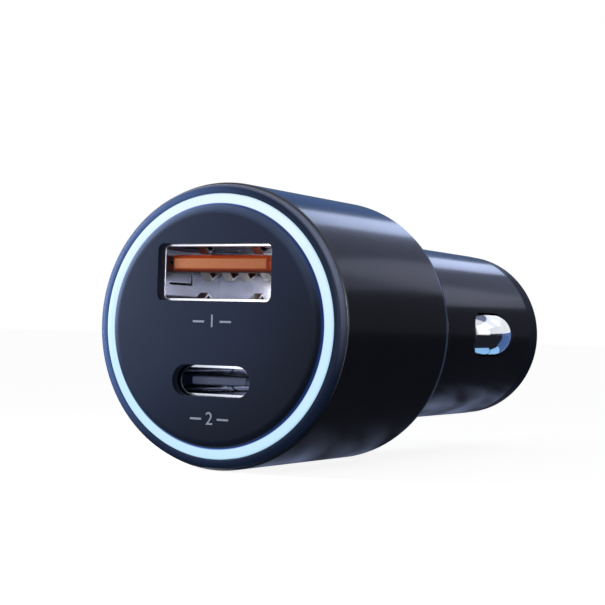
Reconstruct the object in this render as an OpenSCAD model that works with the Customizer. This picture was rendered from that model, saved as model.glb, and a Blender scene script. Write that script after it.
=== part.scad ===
// Two port USB charger for a car's 12 V socket.
// The plug's axis is Y. The face looks towards -Y, the centre contact towards +Y, and Z is up.
// The origin is on the axis, at the shoulder where the head meets the plug.

/* [Head] */
// Outer diameter of the head
head_d = 28.4; // [27.8:0.1:34]
// Length of the head, from the light ring's face to the shoulder
head_len = 25; // [24:0.5:32]
// Wall of the head's sleeve
head_wall = 0.9; // [0.7:0.05:1.1]
// Thickness of the sleeve's rear wall
back_t = 1.4; // [1.1:0.1:2]
// Radius of the sleeve's rear edge
back_round = 1.1; // [0.3:0.1:1.3]

/* [Face] */
// Step from the sleeve's side in to the bezel's rim
rim_step = 0.2; // [0.05:0.05:0.4]
// Length of the bezel's flange in front of the sleeve
rim_len = 0.95; // [0.8:0.05:1.5]
// Radius of the bezel's outer edge
rim_round = 0.6; // [0.2:0.05:0.7]
// Width of the bezel's face, outside the light ring
rim_w = 0.94; // [0.8:0.02:1.3]
// Width of the light ring's face
ring_w = 1.06; // [0.8:0.02:1.2]
// How far the face panel stands in front of the light ring
panel_proud = 0.7; // [0.3:0.1:1.2]
// Thickness of the face panel
panel_t = 0.9; // [0.8:0.05:1.4]
// Radius of the face panel's front edge
panel_round = 0.85; // [0.3:0.05:1]

/* [USB ports] */
// Room between the larger port's upper corners and the panel's skirt
port_a_room = 0.85; // [0.5:0.05:1.2]
// Width of the larger port's opening
port_a_w = 12.5; // [12.4:0.05:12.6]
// Height of the larger port's opening
port_a_h = 5.12; // [5:0.02:5.3]
// Thickness of the larger port's tongue
tongue_a_t = 1.7; // [1.5:0.05:1.9]
// Depth of the smaller port's centre below the axis
port_c_drop = 5.4; // [4.6:0.05:6.2]
// Width of the smaller port's opening
port_c_w = 8.34; // [8.2:0.02:8.5]
// Height of the smaller port's opening
port_c_h = 2.56; // [2.5:0.02:2.7]
// Thickness of the smaller port's tongue
tongue_c_t = 0.74; // [0.6:0.02:0.8]
// Sheet thickness of both ports' shells
shell_t = 0.3; // [0.25:0.01:0.32]
// Margin of the panel's cut-outs round the ports' openings
cut_margin = 0.26; // [0.05:0.01:0.3]

/* [Plug] */
// Diameter of the plug's barrel
plug_d = 20.8; // [20.4:0.1:21.2]
// Length of the plug, from the shoulder to the nose's rim
plug_len = 37.6; // [35:0.1:42]
// Wall of the barrel
barrel_wall = 1; // [0.8:0.05:1.1]
// How much slimmer the barrel is at its nose end
barrel_draft = 0.15; // [0:0.05:0.6]
// Length of the nose's visible rim
nose_rim_len = 3.6; // [2.5:0.1:4]
// Radius of the nose's edge
nose_round = 1.2; // [0.3:0.1:1.5]

/* [Side contacts] */
// Distance from the nose's rim back to the middle of the side contacts
side_from_rim = 15.8; // [15:0.1:17]
// Length of a side contact's pad
pad_len = 11.4; // [9:0.1:12.4]
// Width of a side contact's pad
pad_w = 4.7; // [4.5:0.1:5]
// How far a side contact stands out of the barrel
pad_out = 0.8; // [0.4:0.05:1]
// Gap between a pad and the edge of its slot
slot_gap = 0.25; // [0.15:0.05:0.4]
// Sheet thickness of the side contacts
leaf_t = 0.35; // [0.25:0.05:0.4]

/* [Centre contact] */
// Diameter of the centre contact
pin_d = 5.2; // [4:0.1:6]
// How far the centre contact stands out of the nose
pin_out = 5; // [4:0.1:6]
// Travel of the centre contact
pin_travel = 3.5; // [2:0.1:3.6]
// Running gap round the centre contact
pin_gap = 0.1; // [0.05:0.01:0.2]
// Diameter of the spring's wire
wire_d = 0.7; // [0.4:0.05:0.75]
// Turns of the spring
spring_turns = 5; // [3:1:5]

/* [Circuit boards] */
// Thickness of the circuit boards
board_t = 1.2; // [0.8:0.1:1.6]
// Depth of the ports' shells behind the face panel
port_depth = 12.4; // [10:0.1:13]
// Side of a power inductor
coil_w = 7; // [5:0.1:7.4]
// Height of a power inductor
coil_h = 4.2; // [3:0.1:4.6]
// Diameter of the head's capacitors
cap_d = 6.3; // [5:0.1:6.4]
// Height of the output capacitors
cap_h = 5.8; // [4:0.1:6]

/* [Hidden] */
$fn = 96;
// Clearances: between pieces pressed together, and between pieces that lie or stand apart
fit = 0.03;
play = 0.1;
corner_fn = 32;

head_r = head_d / 2;
bore_r = head_r - head_wall;
front_y = -head_len;
rim_r = head_r - rim_step;
rim_in_r = rim_r - rim_w;
panel_r = rim_in_r - ring_w;
rim_y = front_y + rim_len;
panel_front = front_y - panel_proud;
panel_back = panel_front + panel_t;
ring_flange = rim_len + play;
// Radial thickness of the light ring behind its flange, and of the panel's skirt
ring_tail_t = 0.57;
skirt_t = 0.9;
skirt_len = 4.6;
skirt_r = panel_r + ring_tail_t + 2 * fit;
// Small roundings and chamfers of turned and moulded edges
edge_r = 0.15;
edge_chamfer = 0.2;

// Front light board, behind the face, and the round port board, behind the ports
light_y = panel_back + skirt_len;
light_back = light_y + board_t * 0.6;
// Height of the larger port's centre above the axis
port_a_z =
    sqrt(pow(panel_r - skirt_t, 2) - pow(port_a_w / 2 + shell_t, 2))
    - port_a_h / 2 - shell_t - port_a_room;
shell_front = panel_back + play;
shell_back = shell_front + port_depth;
port_y = shell_back + fit;
port_back = port_y + board_t * 0.8;
port_t = port_back - port_y;
// How far the shells' tabs stand out behind the port board
tab_out = 0.5;

// Barrel: a true cylinder as far as the slots, then a slight draft
plug_r = plug_d / 2;
barrel_r = plug_r - barrel_wall;
side_y = plug_len - side_from_rim;
slot_len = pad_len + 2 * slot_gap;
land_end = side_y - slot_len / 2 - 3 * play;
barrel_end = plug_len - nose_rim_len;
nose_step = 0.05;
nose_r = plug_r - barrel_draft / 2 - nose_step;
neck_step = 0.3;
neck_r = plug_r - neck_step;
flange_r = (neck_r + bore_r) / 2;
flange_t = 1.2;
flange_y = -back_t - flange_t - fit;

// Plastic carrier inside the barrel
carrier_r = barrel_r - 2 * fit;
carrier_t = 1.4;
carrier_in = carrier_r - carrier_t;
carrier_y = 1.4;
root_len = 1;
lip_len = 1.2;
lip_h = 0.4;
// The side contacts' sheets lie in channels through the carrier's wall and bend at the hinge
leaf_x = carrier_in + 2.5 * play;
leaf_w = pad_w - 2 * play;
leaf_hinge_y = carrier_y + root_len;
leaf_end = side_y + pad_len / 2 + lip_len;
channel_w = leaf_w + 6 * play;
channel_y = leaf_hinge_y + root_len;
carrier_end = leaf_end + lip_len;
pad_top = plug_r + pad_out;
pad_round = 1.5;
// The pad's sides are straight up to the taper's start, seen from its middle, and end in a short tip
pad_taper = 0.5;
pad_tip = 0.4;
taper_len = pad_len / 2 - pad_taper + pad_tip;
taper_r = (pow(taper_len, 2) + pow(pad_w / 2, 2)) / pad_w;
// The pad is curved along its length and, more tightly, across it
pad_curve_y = (pow(pad_len / 2, 2) + pow(pad_out, 2)) / (2 * pad_out);
pad_curve_z = 3.2;

// Nose, with a chamber for the spring
spigot_y = carrier_end + 2 * play;
spigot_t = 1.15;
chamber_room = 1.9;
chamber_r = pin_d / 2 + chamber_room;
chamber_wall = 1.15;
nose_web = 2.7;
chamber_front = plug_len - nose_web;
bead_y = (spigot_y + barrel_end) / 2;
bead_out = 0.2;
bead_half = 0.5;

// Centre contact
pin_r = pin_d / 2;
pin_flange_r = chamber_r - 3 * play;
pin_flange_t = 1.4;
pin_flange_y = chamber_front - fit - pin_flange_t;
pin_tail_step = 0.5;
pin_tail_r = pin_r - pin_tail_step;
pin_tail_len = 1.8;
pin_tip = plug_len + pin_out;
// The chamber is as deep as the pressed spring and the contact's travel need
spring_solid = wire_d * (spring_turns + 0.5);
chamber_back = pin_flange_y - pin_travel - spring_solid;

// Spring and its terminal
spring_r = (pin_tail_r + pin_flange_r) / 2 + play;
terminal_t = 0.6;
terminal_y = chamber_back - fit - terminal_t;
terminal_r = chamber_r + chamber_wall - play;
tab_len = 3.4;
tab_lap = 0.6;
tab_w = 3;
tab_t = 0.4;
spring_y0 = chamber_back;
spring_y1 = pin_flange_y;

// Power board, on edge along the axis
board_x = board_t / 2;
board_y0 = port_back + fit;
board_step = flange_y - 3 * play;
board_end = terminal_y - tab_lap;
head_board_edge = 1.7;
head_board_z = bore_r - head_board_edge;
groove_depth = 0.5;
board_edge = carrier_in + groove_depth - 1.5 * play;

// Parts on the power board
strap_t = 0.35;
strap_w = 3;
strap_foot = 1.9;
coil_y = carrier_y + strap_foot + 3 * play;
chip_w = 4;
chip_h = 0.9;
cap_y = (board_y0 + board_step) / 2;
cap_margin = 0.6;
cap_z = head_board_z - cap_d / 2 - cap_margin;
input_cap_h = 8;

// Shapes that repeat

// Turns a profile, drawn as radius and distance along the plug, round the plug's axis
module turned() {
    rotate([-90, 0, 0])
        rotate_extrude()
            children();
}

// Runs a shape, drawn as seen from the front, along the plug from y0 to y1
module along_plug(y0, y1) {
    translate([0, y1, 0])
        rotate([90, 0, 0])
            linear_extrude(y1 - y0)
                children();
}

// Runs a shape, drawn as distance along the plug and height, across from x0 to x1
module across(x0, x1) {
    translate([x0, 0, 0])
        rotate([90, 0, 90])
            linear_extrude(x1 - x0)
                children();
}

// Profile of a tube from radius r0 to r1, between y0 and y1
module band(r0, r1, y0, y1) {
    translate([r0, y0])
        square([r1 - r0, y1 - y0]);
}

// What a rounded edge takes off a corner at x, y whose open sides are sx and sy
module edge_cut(x, y, r, sx, sy) {
    translate([x, y])
        mirror([sx < 0 ? 1 : 0, 0])
            mirror([0, sy < 0 ? 1 : 0])
                difference() {
                    translate([-r, -r])
                        square(r + 0.05);
                    translate([-r, -r])
                        circle(r);
                }
}

// What a chamfer takes off the same corner
module chamfer_cut(x, y, c, sx, sy) {
    translate([x, y])
        mirror([sx < 0 ? 1 : 0, 0])
            mirror([0, sy < 0 ? 1 : 0])
                polygon([[-c, 0.05], [-c, 0], [0, -c], [0.05, -c], [0.05, 0.05]]);
}

// Rectangle with rounded corners, about its centre
module round_rect(w, h, r) {
    square([w - 2 * r, h], center = true);
    square([w, h - 2 * r], center = true);
    for (x = [-1, 1], y = [-1, 1])
        translate([x * (w / 2 - r), y * (h / 2 - r)])
            circle(r, $fn = corner_fn);
}

// Places a shape in the plane of the face on a port's centre
module at_port_a() {
    translate([0, port_a_z])
        children();
}

module at_port_c() {
    translate([0, -port_c_drop])
        children();
}

// Both ports' outlines, grown by a margin
module port_outlines(margin) {
    at_port_a()
        round_rect(port_a_w + 2 * margin, port_a_h + 2 * margin, 0.5 + margin / 2);
    at_port_c()
        round_rect(port_c_w + 2 * margin, port_c_h + 2 * margin, port_c_h / 2 + margin - 0.01);
}

// Head

module head_sleeve() {
    color("#20263a")
        turned()
            difference() {
                band(neck_r + fit, head_r, rim_y, 0);
                band(neck_r - 1, bore_r, rim_y - 1, -back_t);
                edge_cut(head_r, 0, back_round, 1, 1);
                edge_cut(head_r, rim_y, edge_r, 1, -1);
                chamfer_cut(bore_r, rim_y, edge_r, -1, -1);
            }
}

module bezel_ring() {
    color("#1b2438")
        turned()
            difference() {
                band(skirt_r, rim_r, front_y, light_y - fit);
                band(skirt_r - 1, rim_in_r, front_y - 1, front_y + ring_flange);
                band(bore_r - fit, rim_r + 1, rim_y, light_y + 1);
                edge_cut(rim_r, front_y, rim_round, 1, -1);
                edge_cut(rim_in_r, front_y, edge_r, -1, -1);
                chamfer_cut(bore_r - fit, light_y - fit, edge_chamfer, 1, 1);
            }
}

module light_guide() {
    color("#d8f2ff")
        turned()
            difference() {
                band(panel_r + fit, rim_in_r - fit, front_y, light_y - led_h - led_gap);
                band(skirt_r - fit, rim_in_r + 1, front_y + ring_flange - fit, light_y + 1);
                edge_cut(rim_in_r - fit, front_y, edge_r, 1, -1);
            }
}

module face_panel() {
    color("#2b3550")
        difference() {
            turned()
                difference() {
                    band(0, panel_r, panel_front, light_y - fit);
                    band(-1, panel_r - skirt_t, panel_back, light_y + 1);
                    edge_cut(panel_r, panel_front, panel_round, 1, -1);
                    chamfer_cut(panel_r - skirt_t, light_y - fit, edge_chamfer, -1, 1);
                }
            along_plug(panel_front - 1, panel_back + 1)
                port_outlines(cut_margin);
        }
}

// Ring of small lamps and the board that carries them

module light_board() {
    color("#0f4a30")
        difference() {
            along_plug(light_y, light_back)
                circle(bore_r - play);
            along_plug(light_y - 1, light_back + 1) {
                port_outlines(shell_t + play);
                light_pin_places(fit);
            }
        }
}

led_count = 12;
led_w = 1;
led_d = 0.5;
led_h = 0.4;
led_gap = 0.25;
light_pin_d = 0.64;
light_pin_pitch = 2.54;
light_pin_z = (port_a_z - port_a_h / 2 + port_c_h / 2 - port_c_drop) / 2;

module ring_leds() {
    color("#f2f4d8")
        for (i = [0 : led_count - 1])
            rotate([0, i * 360 / led_count, 0])
                along_plug(light_y - led_h, light_y)
                    translate([panel_r + ring_tail_t / 2 + fit, 0])
                        square([led_d, led_w], center = true);
}

// The two pins that feed the light board, seen from the front and grown by a margin
module light_pin_places(margin) {
    for (x = [-1, 1])
        translate([x * light_pin_pitch / 2, light_pin_z])
            circle(light_pin_d / 2 + margin, $fn = corner_fn);
}

module light_pins() {
    color("#c8a24a")
        along_plug(light_y - 0.2, port_back + tab_out)
            light_pin_places(0);
}

// Larger port: shell with four spring fingers, tongue with its contacts below

// A finger lies in the shell's wall, with its root at the rear and a bump near its free end
finger_w = 1;
finger_t = 0.24;
finger_x = port_a_w / 4;
finger_start = 1.5;
bump_len = 1.8;
bump_h = 0.66;
finger_len = 4.6;
finger_slit = 0.2;
// A side finger is cut free on three sides in each side wall
side_finger_start = 0.8;
side_finger_len = 3.9;
side_finger_w = 1.9;
tab_a_w = 1.6;
tab_c_w = 1.1;

// Distance of a point from the shell's front, along the plug
function in_shell(depth) = shell_front + depth;

// Window for the finger above the port, and the finger, about the port's centre
module finger_window() {
    translate([-finger_w / 2 - finger_slit, in_shell(finger_start - finger_slit), port_a_h / 2 - 1])
        cube([finger_w + 2 * finger_slit, finger_len + finger_slit, 3]);
}

module finger() {
    translate([0, in_shell(finger_start), port_a_h / 2])
        across(-finger_w / 2, finger_w / 2)
            polygon([
                [0, 0], [bump_len / 2, -bump_h], [bump_len, 0], [finger_len + finger_slit, 0],
                [finger_len + finger_slit, finger_t], [bump_len, finger_t],
                [bump_len / 2, 1.4 * finger_t - bump_h], [0, finger_t]
            ]);
}

module on_finger_places() {
    translate([0, 0, port_a_z])
        for (x = [-1, 1], flip = [0, 1])
            translate([x * finger_x, 0, 0])
                mirror([0, 0, flip])
                    children();
}

// Slits that free the side fingers, open through both side walls
module side_slits() {
    translate([0, in_shell(side_finger_start), port_a_z])
        across(-port_a_w, port_a_w)
            difference() {
                translate([0, -side_finger_w / 2 - finger_slit])
                    square([side_finger_len + finger_slit, side_finger_w + 2 * finger_slit]);
                translate([-1, -side_finger_w / 2])
                    square([side_finger_len + 1, side_finger_w]);
            }
}

module usb_a_shell() {
    color("#c9ccd2") {
        difference() {
            along_plug(shell_front, shell_back)
                at_port_a()
                    difference() {
                        round_rect(port_a_w + 2 * shell_t, port_a_h + 2 * shell_t, 0.6);
                        round_rect(port_a_w, port_a_h, 0.35);
                    }
            on_finger_places()
                finger_window();
            side_slits();
        }
        on_finger_places()
            finger();
        // solder tabs through the port board
        for (x = [-1, 1])
            along_plug(shell_back - 0.01, port_back + tab_out)
                translate([x * (port_a_w + shell_t) / 2, port_a_z])
                    square([shell_t, tab_a_w], center = true);
    }
}

tongue_a_side = 0.6;
tongue_a_w = port_a_w - 2 * tongue_a_side;
tongue_a_lift = 0.9;
tongue_a_recess = 0.33;
tongue_a_front = front_y + tongue_a_recess;
tongue_a_chamfer = 0.38;
base_a_t = 2;
contact_a_w = 1;
contact_a_t = 0.2;
contact_a_hang = 0.75;
contact_a_start = 2.8;
contact_a_bend = 0.8;
contact_a_len = 2.4;
contact_a_margin = 2.15;
contact_a_outer = tongue_a_w / 2 - contact_a_margin;
contact_a_places = [-contact_a_outer, -contact_a_w, contact_a_w, contact_a_outer];
tongue_a_under = port_a_z + tongue_a_lift - tongue_a_t / 2;

module usb_a_insulator() {
    color("#e0762f") {
        difference() {
            union() {
                translate([0, 0, port_a_z + tongue_a_lift])
                    difference() {
                        along_plug(tongue_a_front, shell_back)
                            square([tongue_a_w, tongue_a_t], center = true);
                        // chamfered front edges
                        for (side = [0, 1])
                            mirror([0, 0, side])
                                across(-tongue_a_w, tongue_a_w)
                                    chamfer_cut(
                                        tongue_a_front, tongue_a_t / 2, tongue_a_chamfer, -1, 1
                                    );
                        for (side = [0, 1])
                            mirror([side, 0, 0])
                                translate([0, 0, -tongue_a_t])
                                    linear_extrude(2 * tongue_a_t)
                                        chamfer_cut(
                                            tongue_a_w / 2, tongue_a_front, tongue_a_chamfer, 1, -1
                                        );
                    }
                along_plug(shell_back - base_a_t, shell_back)
                    at_port_a()
                        round_rect(port_a_w - 2 * fit, port_a_h - 2 * fit, 0.35);
            }
            // slots for the contacts, open below
            for (x = contact_a_places)
                translate([
                    x - contact_a_w / 2 - play, tongue_a_front + contact_a_w, tongue_a_under - 1
                ])
                    cube([
                        contact_a_w + 2 * play, shell_back - tongue_a_front,
                        1 + contact_a_t + 2 * play
                    ]);
        }
    }
}

// A contact starts in its slot, bends down to a point, comes back up and runs to the board
module usb_a_contacts() {
    low = tongue_a_under - contact_a_hang;
    high = tongue_a_under + play + contact_a_t;
    start_y = in_shell(contact_a_start);
    bend_y = start_y + contact_a_bend;
    rise_y = start_y + contact_a_len;
    tip_y = start_y - contact_a_bend;
    color("#c8a24a")
        for (x = contact_a_places)
            across(x - contact_a_w / 2, x + contact_a_w / 2)
                polygon([
                    [port_back, high], [rise_y, high], [bend_y, low + 1.4 * contact_a_t],
                    [start_y, high], [tip_y, high], [tip_y, high - contact_a_t],
                    [start_y, high - contact_a_t], [bend_y, low],
                    [rise_y, high - contact_a_t], [port_back, high - contact_a_t]
                ]);
}

// Smaller port: drawn shell with round ends, thin tongue with contacts on both faces

shell_c_recess = 0.25;
shell_c_front = shell_front + shell_c_recess;
tongue_c_side = 0.825;
tongue_c_w = port_c_w - 2 * tongue_c_side;
tongue_c_recess = 0.35;
tongue_c_front = shell_c_front + tongue_c_recess;
tongue_c_chamfer = 0.3;
base_c_t = 3;
contact_c_count = 12;
contact_c_pitch = 0.5;
contact_c_w = 0.25;
contact_c_t = 0.06;

module usb_c_shell() {
    outer_w = port_c_w + 2 * shell_t;
    outer_h = port_c_h + 2 * shell_t;
    color("#9aa0aa") {
        along_plug(shell_c_front, shell_back)
            at_port_c()
                difference() {
                    round_rect(outer_w, outer_h, outer_h / 2 - 0.01);
                    round_rect(port_c_w, port_c_h, port_c_h / 2 - 0.01);
                }
        for (x = [-1, 1])
            along_plug(shell_back - 0.01, port_back + tab_out)
                translate([x * (port_c_w + shell_t) / 2, -port_c_drop])
                    square([shell_t, tab_c_w], center = true);
    }
}

module usb_c_insulator() {
    color("#2c3648") {
        difference() {
            along_plug(tongue_c_front, shell_back)
                at_port_c()
                    square([tongue_c_w, tongue_c_t], center = true);
            for (side = [0, 1])
                mirror([side, 0, 0])
                    translate([0, 0, -port_c_drop - 1])
                        linear_extrude(2)
                            chamfer_cut(tongue_c_w / 2, tongue_c_front, tongue_c_chamfer, 1, -1);
        }
        along_plug(shell_back - base_c_t, shell_back)
            at_port_c()
                round_rect(port_c_w - 2 * fit, port_c_h - 2 * fit, port_c_h / 2 - fit - 0.01);
    }
}

module usb_c_contacts() {
    row = (contact_c_count - 1) * contact_c_pitch;
    color("#c8a24a")
        for (i = [0 : contact_c_count - 1], side = [-1, 1])
            along_plug(tongue_c_front + tongue_c_recess, shell_back - base_c_t)
                at_port_c()
                    translate([i * contact_c_pitch - row / 2, side * (tongue_c_t + contact_c_t) / 2])
                        square([contact_c_w, contact_c_t], center = true);
}

// Circuit boards

link_w = 3;
link_z = head_board_z - 0.8 * link_w;

module port_board() {
    color("#0f4a30")
        difference() {
            along_plug(port_y, port_back)
                circle(bore_r - play);
            along_plug(port_y - 1, port_back + 1)
                light_pin_places(fit);
            // slots for the power board's tabs
            for (z = [-1, 1])
                along_plug(port_y - 1, port_back + 1)
                    translate([0, z * link_z])
                        square([board_t + 2 * play, link_w + 2 * play], center = true);
            // slots for the shells' tabs
            for (x = [-1, 1])
                along_plug(port_y - 1, port_back + 1) {
                    translate([x * (port_a_w + shell_t) / 2, port_a_z])
                        square([shell_t + 2 * play, tab_a_w + 2 * play], center = true);
                    translate([x * (port_c_w + shell_t) / 2, -port_c_drop])
                        square([shell_t + 2 * play, tab_c_w + 2 * play], center = true);
                }
            // holes for the larger port's contacts
            for (x = contact_a_places)
                translate([x - contact_a_w / 2 - play, port_y - 1, tongue_a_under + play / 2])
                    cube([contact_a_w + 2 * play, port_t + 2, contact_a_t + play]);
        }
}

module power_board() {
    color("#0f4a30")
        across(-board_x, board_x) {
            translate([board_y0, -head_board_z])
                square([board_step - board_y0, 2 * head_board_z]);
            translate([board_step - 0.01, -board_edge])
                square([board_end - board_step + 0.01, 2 * board_edge]);
            for (z = [-1, 1])
                translate([port_y + fit, z * link_z - link_w / 2])
                    square([board_y0 - port_y, link_w]);
        }
}

// One power inductor: a ferrite block with rounded corners and a solder foot at each end
coil_foot = 0.15;
coil_round = 1.1;

module inductor() {
    translate([board_x + fit, 0, 0]) {
        translate([coil_foot, coil_y + coil_w / 2, 0])
            across(0, coil_h - coil_foot)
                round_rect(coil_w, coil_w, coil_round);
        for (end = [0, 1])
            translate([0, coil_y + end * (coil_w - coil_round), -coil_w / 4])
                cube([coil_foot + 0.01, coil_round, coil_w / 2]);
    }
}

module power_inductors() {
    color("#3a3d42")
        for (side = [0, 1])
            mirror([side, 0, 0])
                inductor();
}

// Capacitor can on a square base, standing on the board's +X face
cap_crimp = 0.45;

module capacitor(d, h) {
    base_t = 0.8;
    base_w = d + 3 * play;
    across(0, base_t)
        difference() {
            square(base_w, center = true);
            for (y = [-1, 1])
                translate([y * base_w / 2, base_w / 2])
                    rotate(45)
                        square(1.6, center = true);
        }
    rotate([0, 90, 0]) {
        rotate_extrude()
            difference() {
                band(0, d / 2, base_t, h);
                edge_cut(d / 2, h, cap_crimp, 1, 1);
                // the crimp round the can
                translate([d / 2 + cap_crimp / 3, 2 * base_t])
                    circle(cap_crimp, $fn = corner_fn);
            }
    }
}

module output_capacitors() {
    color("#b9bec6")
        for (z = [-1, 1])
            translate([board_x + fit, cap_y, z * cap_z])
                capacitor(cap_d, cap_h);
}

module input_capacitor() {
    color("#3b4150")
        translate([-board_x - fit, cap_y, 0])
            mirror([1, 0, 0])
                capacitor(cap_d, input_cap_h);
}

// Flat chip with leads on its four sides, on the board's +X face with its middle at the origin
module chip() {
    leads = 5;
    lead_w = 0.3;
    lead_t = 0.2;
    lead_out = 0.1;
    dimple = 0.3;
    translate([board_x + fit, 0, 0]) {
        difference() {
            across(0, chip_h)
                square(chip_w, center = true);
            // dimple at the first lead
            translate([chip_h, 2 * dimple - chip_w / 2, chip_w / 2 - 2 * dimple])
                rotate([0, 90, 0])
                    cylinder(h = dimple, r = dimple, center = true, $fn = corner_fn);
        }
        across(0, lead_t)
            for (i = [1 : leads], turn = [0, 90])
                rotate(turn)
                    translate([(i / (leads + 1) - 0.5) * chip_w, 0])
                        square([lead_w, chip_w + 2 * lead_out], center = true);
    }
}

// One chip between the output capacitors, one behind the upper of them
module controller_chips() {
    color("#26282c") {
        translate([0, cap_y, 0])
            chip();
        mirror([1, 0, 0])
            translate([0, cap_y, cap_z])
                chip();
    }
}

// Small ceramic capacitors: a row on each side of both inductors
ceramic_h = 0.9;
ceramic_len = 2;
ceramic_w = 1.25;

module ceramic_capacitors() {
    color("#b88a5c")
        for (side = [0, 1], z = [-1, 1], end = [-1, 1])
            mirror([side, 0, 0])
                translate([
                    board_x + fit,
                    coil_y + coil_w / 2 + end * coil_w / 4 - ceramic_len / 2,
                    z * (coil_w / 2 + ceramic_w) - ceramic_w / 2
                ])
                    cube([ceramic_h, ceramic_len, ceramic_w]);
}

// Straps from the board to the side contacts' roots, flat on the carrier's rear end
module ground_straps() {
    arm_y = carrier_y - fit - strap_t;
    color("#c8a24a")
        for (side = [0, 1])
            mirror([side, 0, 0])
                along_strap(arm_y);
}

module along_strap(arm_y) {
    translate([0, 0, -strap_w / 2])
        linear_extrude(strap_w)
            union() {
                translate([board_x + fit, arm_y])
                    square([leaf_x + 1.5 * leaf_t - board_x - fit, strap_t]);
                translate([board_x + fit, arm_y])
                    square([strap_t, strap_foot]);
            }
}

// Plug

module plug_barrel() {
    color("#20263a")
        difference() {
            turned()
                difference() {
                    union() {
                        band(barrel_r, neck_r, flange_y, 0.5);
                        band(barrel_r, flange_r, flange_y, flange_y + flange_t);
                        band(barrel_r, plug_r, 0, land_end);
                        polygon([
                            [barrel_r, land_end], [plug_r, land_end],
                            [plug_r - barrel_draft / 2, barrel_end], [barrel_r, barrel_end]
                        ]);
                    }
                    // groove that holds the nose's bead
                    band(
                        barrel_r - 1, barrel_r + bead_out + play / 2,
                        bead_y - bead_half - play, bead_y + bead_half + play
                    );
                    edge_cut(plug_r - barrel_draft / 2, barrel_end, edge_r, 1, 1);
                }
            for (side = [0, 1])
                mirror([side, 0, 0])
                    across(barrel_r - 2, plug_r + 1)
                        translate([side_y, 0])
                            pad_outline(slot_gap);
        }
}

module contact_carrier() {
    color("#17181b")
        difference() {
            turned()
                band(carrier_in, carrier_r, carrier_y, carrier_end);
            for (side = [0, 1])
                mirror([side, 0, 0]) {
                    // channel for the side contact
                    translate([0, channel_y, -channel_w / 2])
                        cube([carrier_r + 1, carrier_end, channel_w]);
                    // narrow seat for its root
                    translate([leaf_x - play, carrier_y - 1, -leaf_w / 2 - play])
                        cube([leaf_t + 2 * play, channel_y - carrier_y + 1.1, leaf_w + 2 * play]);
                }
            // grooves for the power board's edges
            for (side = [0, 1])
                mirror([0, 0, side])
                    translate([-board_x - play, carrier_y - 1, 0])
                        cube([board_t + 2 * play, carrier_end, carrier_in + groove_depth]);
        }
}

// Outline of a pad, grown by a margin: blunt towards the head and tapered towards the nose
module pad_outline(margin) {
    start = -pad_len / 2 - margin;
    corner = pad_round + margin;
    translate([(start + pad_taper + corner) / 2, 0])
        round_rect(pad_taper + corner - start, pad_w + 2 * margin, corner);
    intersection() {
        translate([pad_taper - 0.01, -pad_w])
            square([pad_len / 2 + margin - pad_taper + 0.01, 2 * pad_w]);
        translate([pad_taper, taper_r - pad_w / 2])
            circle(taper_r + margin);
        translate([pad_taper, pad_w / 2 - taper_r])
            circle(taper_r + margin);
    }
}

// Solid in the shape of a pad's outside, or of its inside when set in by an offset
module pad_blank(inset) {
    intersection() {
        across(leaf_x - 1, pad_top + 1)
            translate([side_y, 0])
                pad_outline(-inset);
        translate([pad_top - pad_curve_y, side_y, 0])
            rotate_extrude($fn = 2 * $fn) {
                translate([pad_curve_y - pad_curve_z, 0])
                    circle(pad_curve_z - inset);
                translate([0, inset - pad_curve_z])
                    square([pad_curve_y - pad_curve_z, 2 * (pad_curve_z - inset)]);
            }
    }
}

// Side contact: a spring leaf with a pressed pad, and a lip that catches behind the slot
module ground_contact() {
    root_y = carrier_y + fit;
    difference() {
        union() {
            translate([leaf_x, root_y, -leaf_w / 2])
                cube([leaf_t, leaf_end - root_y, leaf_w]);
            intersection() {
                pad_blank(0);
                translate([leaf_x, 0, -pad_w])
                    cube([pad_top, plug_len, 2 * pad_w]);
            }
            translate([leaf_x, leaf_end - leaf_t, -leaf_w / 2])
                cube([leaf_t + lip_h, leaf_t, leaf_w]);
        }
        pad_blank(leaf_t);
    }
}

module ground_contact_right() {
    color("#dfe2e6")
        ground_contact();
}

module ground_contact_left() {
    color("#dfe2e6")
        mirror([1, 0, 0])
            ground_contact();
}

module nose_insulator() {
    boss_r = chamber_r + chamber_wall;
    spigot_in = barrel_r - fit - spigot_t;
    color("#1a1e2a")
        turned()
            difference() {
                union() {
                    band(pin_r + pin_gap, nose_r, barrel_end + fit, plug_len);
                    band(pin_r + pin_gap, barrel_r - fit, spigot_y, barrel_end + 1);
                    band(pin_r + pin_gap, boss_r, chamber_back, barrel_end);
                    // bead that snaps into the barrel's groove
                    polygon([
                        [barrel_r - 1, bead_y - bead_half], [barrel_r - fit, bead_y - bead_half],
                        [barrel_r + bead_out, bead_y], [barrel_r - fit, bead_y + bead_half],
                        [barrel_r - 1, bead_y + bead_half]
                    ]);
                }
                band(0, chamber_r, chamber_back - 1, chamber_front);
                // hollow between the chamber's wall and the spigot
                band(boss_r, spigot_in, spigot_y - 1, barrel_end - bead_half);
                edge_cut(nose_r, plug_len, nose_round, 1, 1);
                edge_cut(pin_r + pin_gap, plug_len, edge_chamfer, -1, 1);
            }
}

// Centre contact: a turned pin with a round tip, a flange and a tail that centres the spring
module centre_contact() {
    tip_r = pin_r - edge_r;
    color("#dfe2e6")
        turned()
            difference() {
                union() {
                    band(0, pin_r, pin_flange_y, pin_tip - tip_r);
                    band(0, pin_flange_r, pin_flange_y, pin_flange_y + pin_flange_t);
                    band(0, pin_tail_r, pin_flange_y - pin_tail_len, pin_flange_y + 0.5);
                    intersection() {
                        translate([0, pin_tip - tip_r])
                            circle(tip_r);
                        band(0, tip_r, pin_flange_y, pin_tip);
                    }
                }
                edge_cut(pin_r, pin_tip - tip_r, edge_r, 1, 1);
                edge_cut(pin_tail_r, pin_flange_y - pin_tail_len, edge_chamfer, 1, -1);
            }
}

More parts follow.
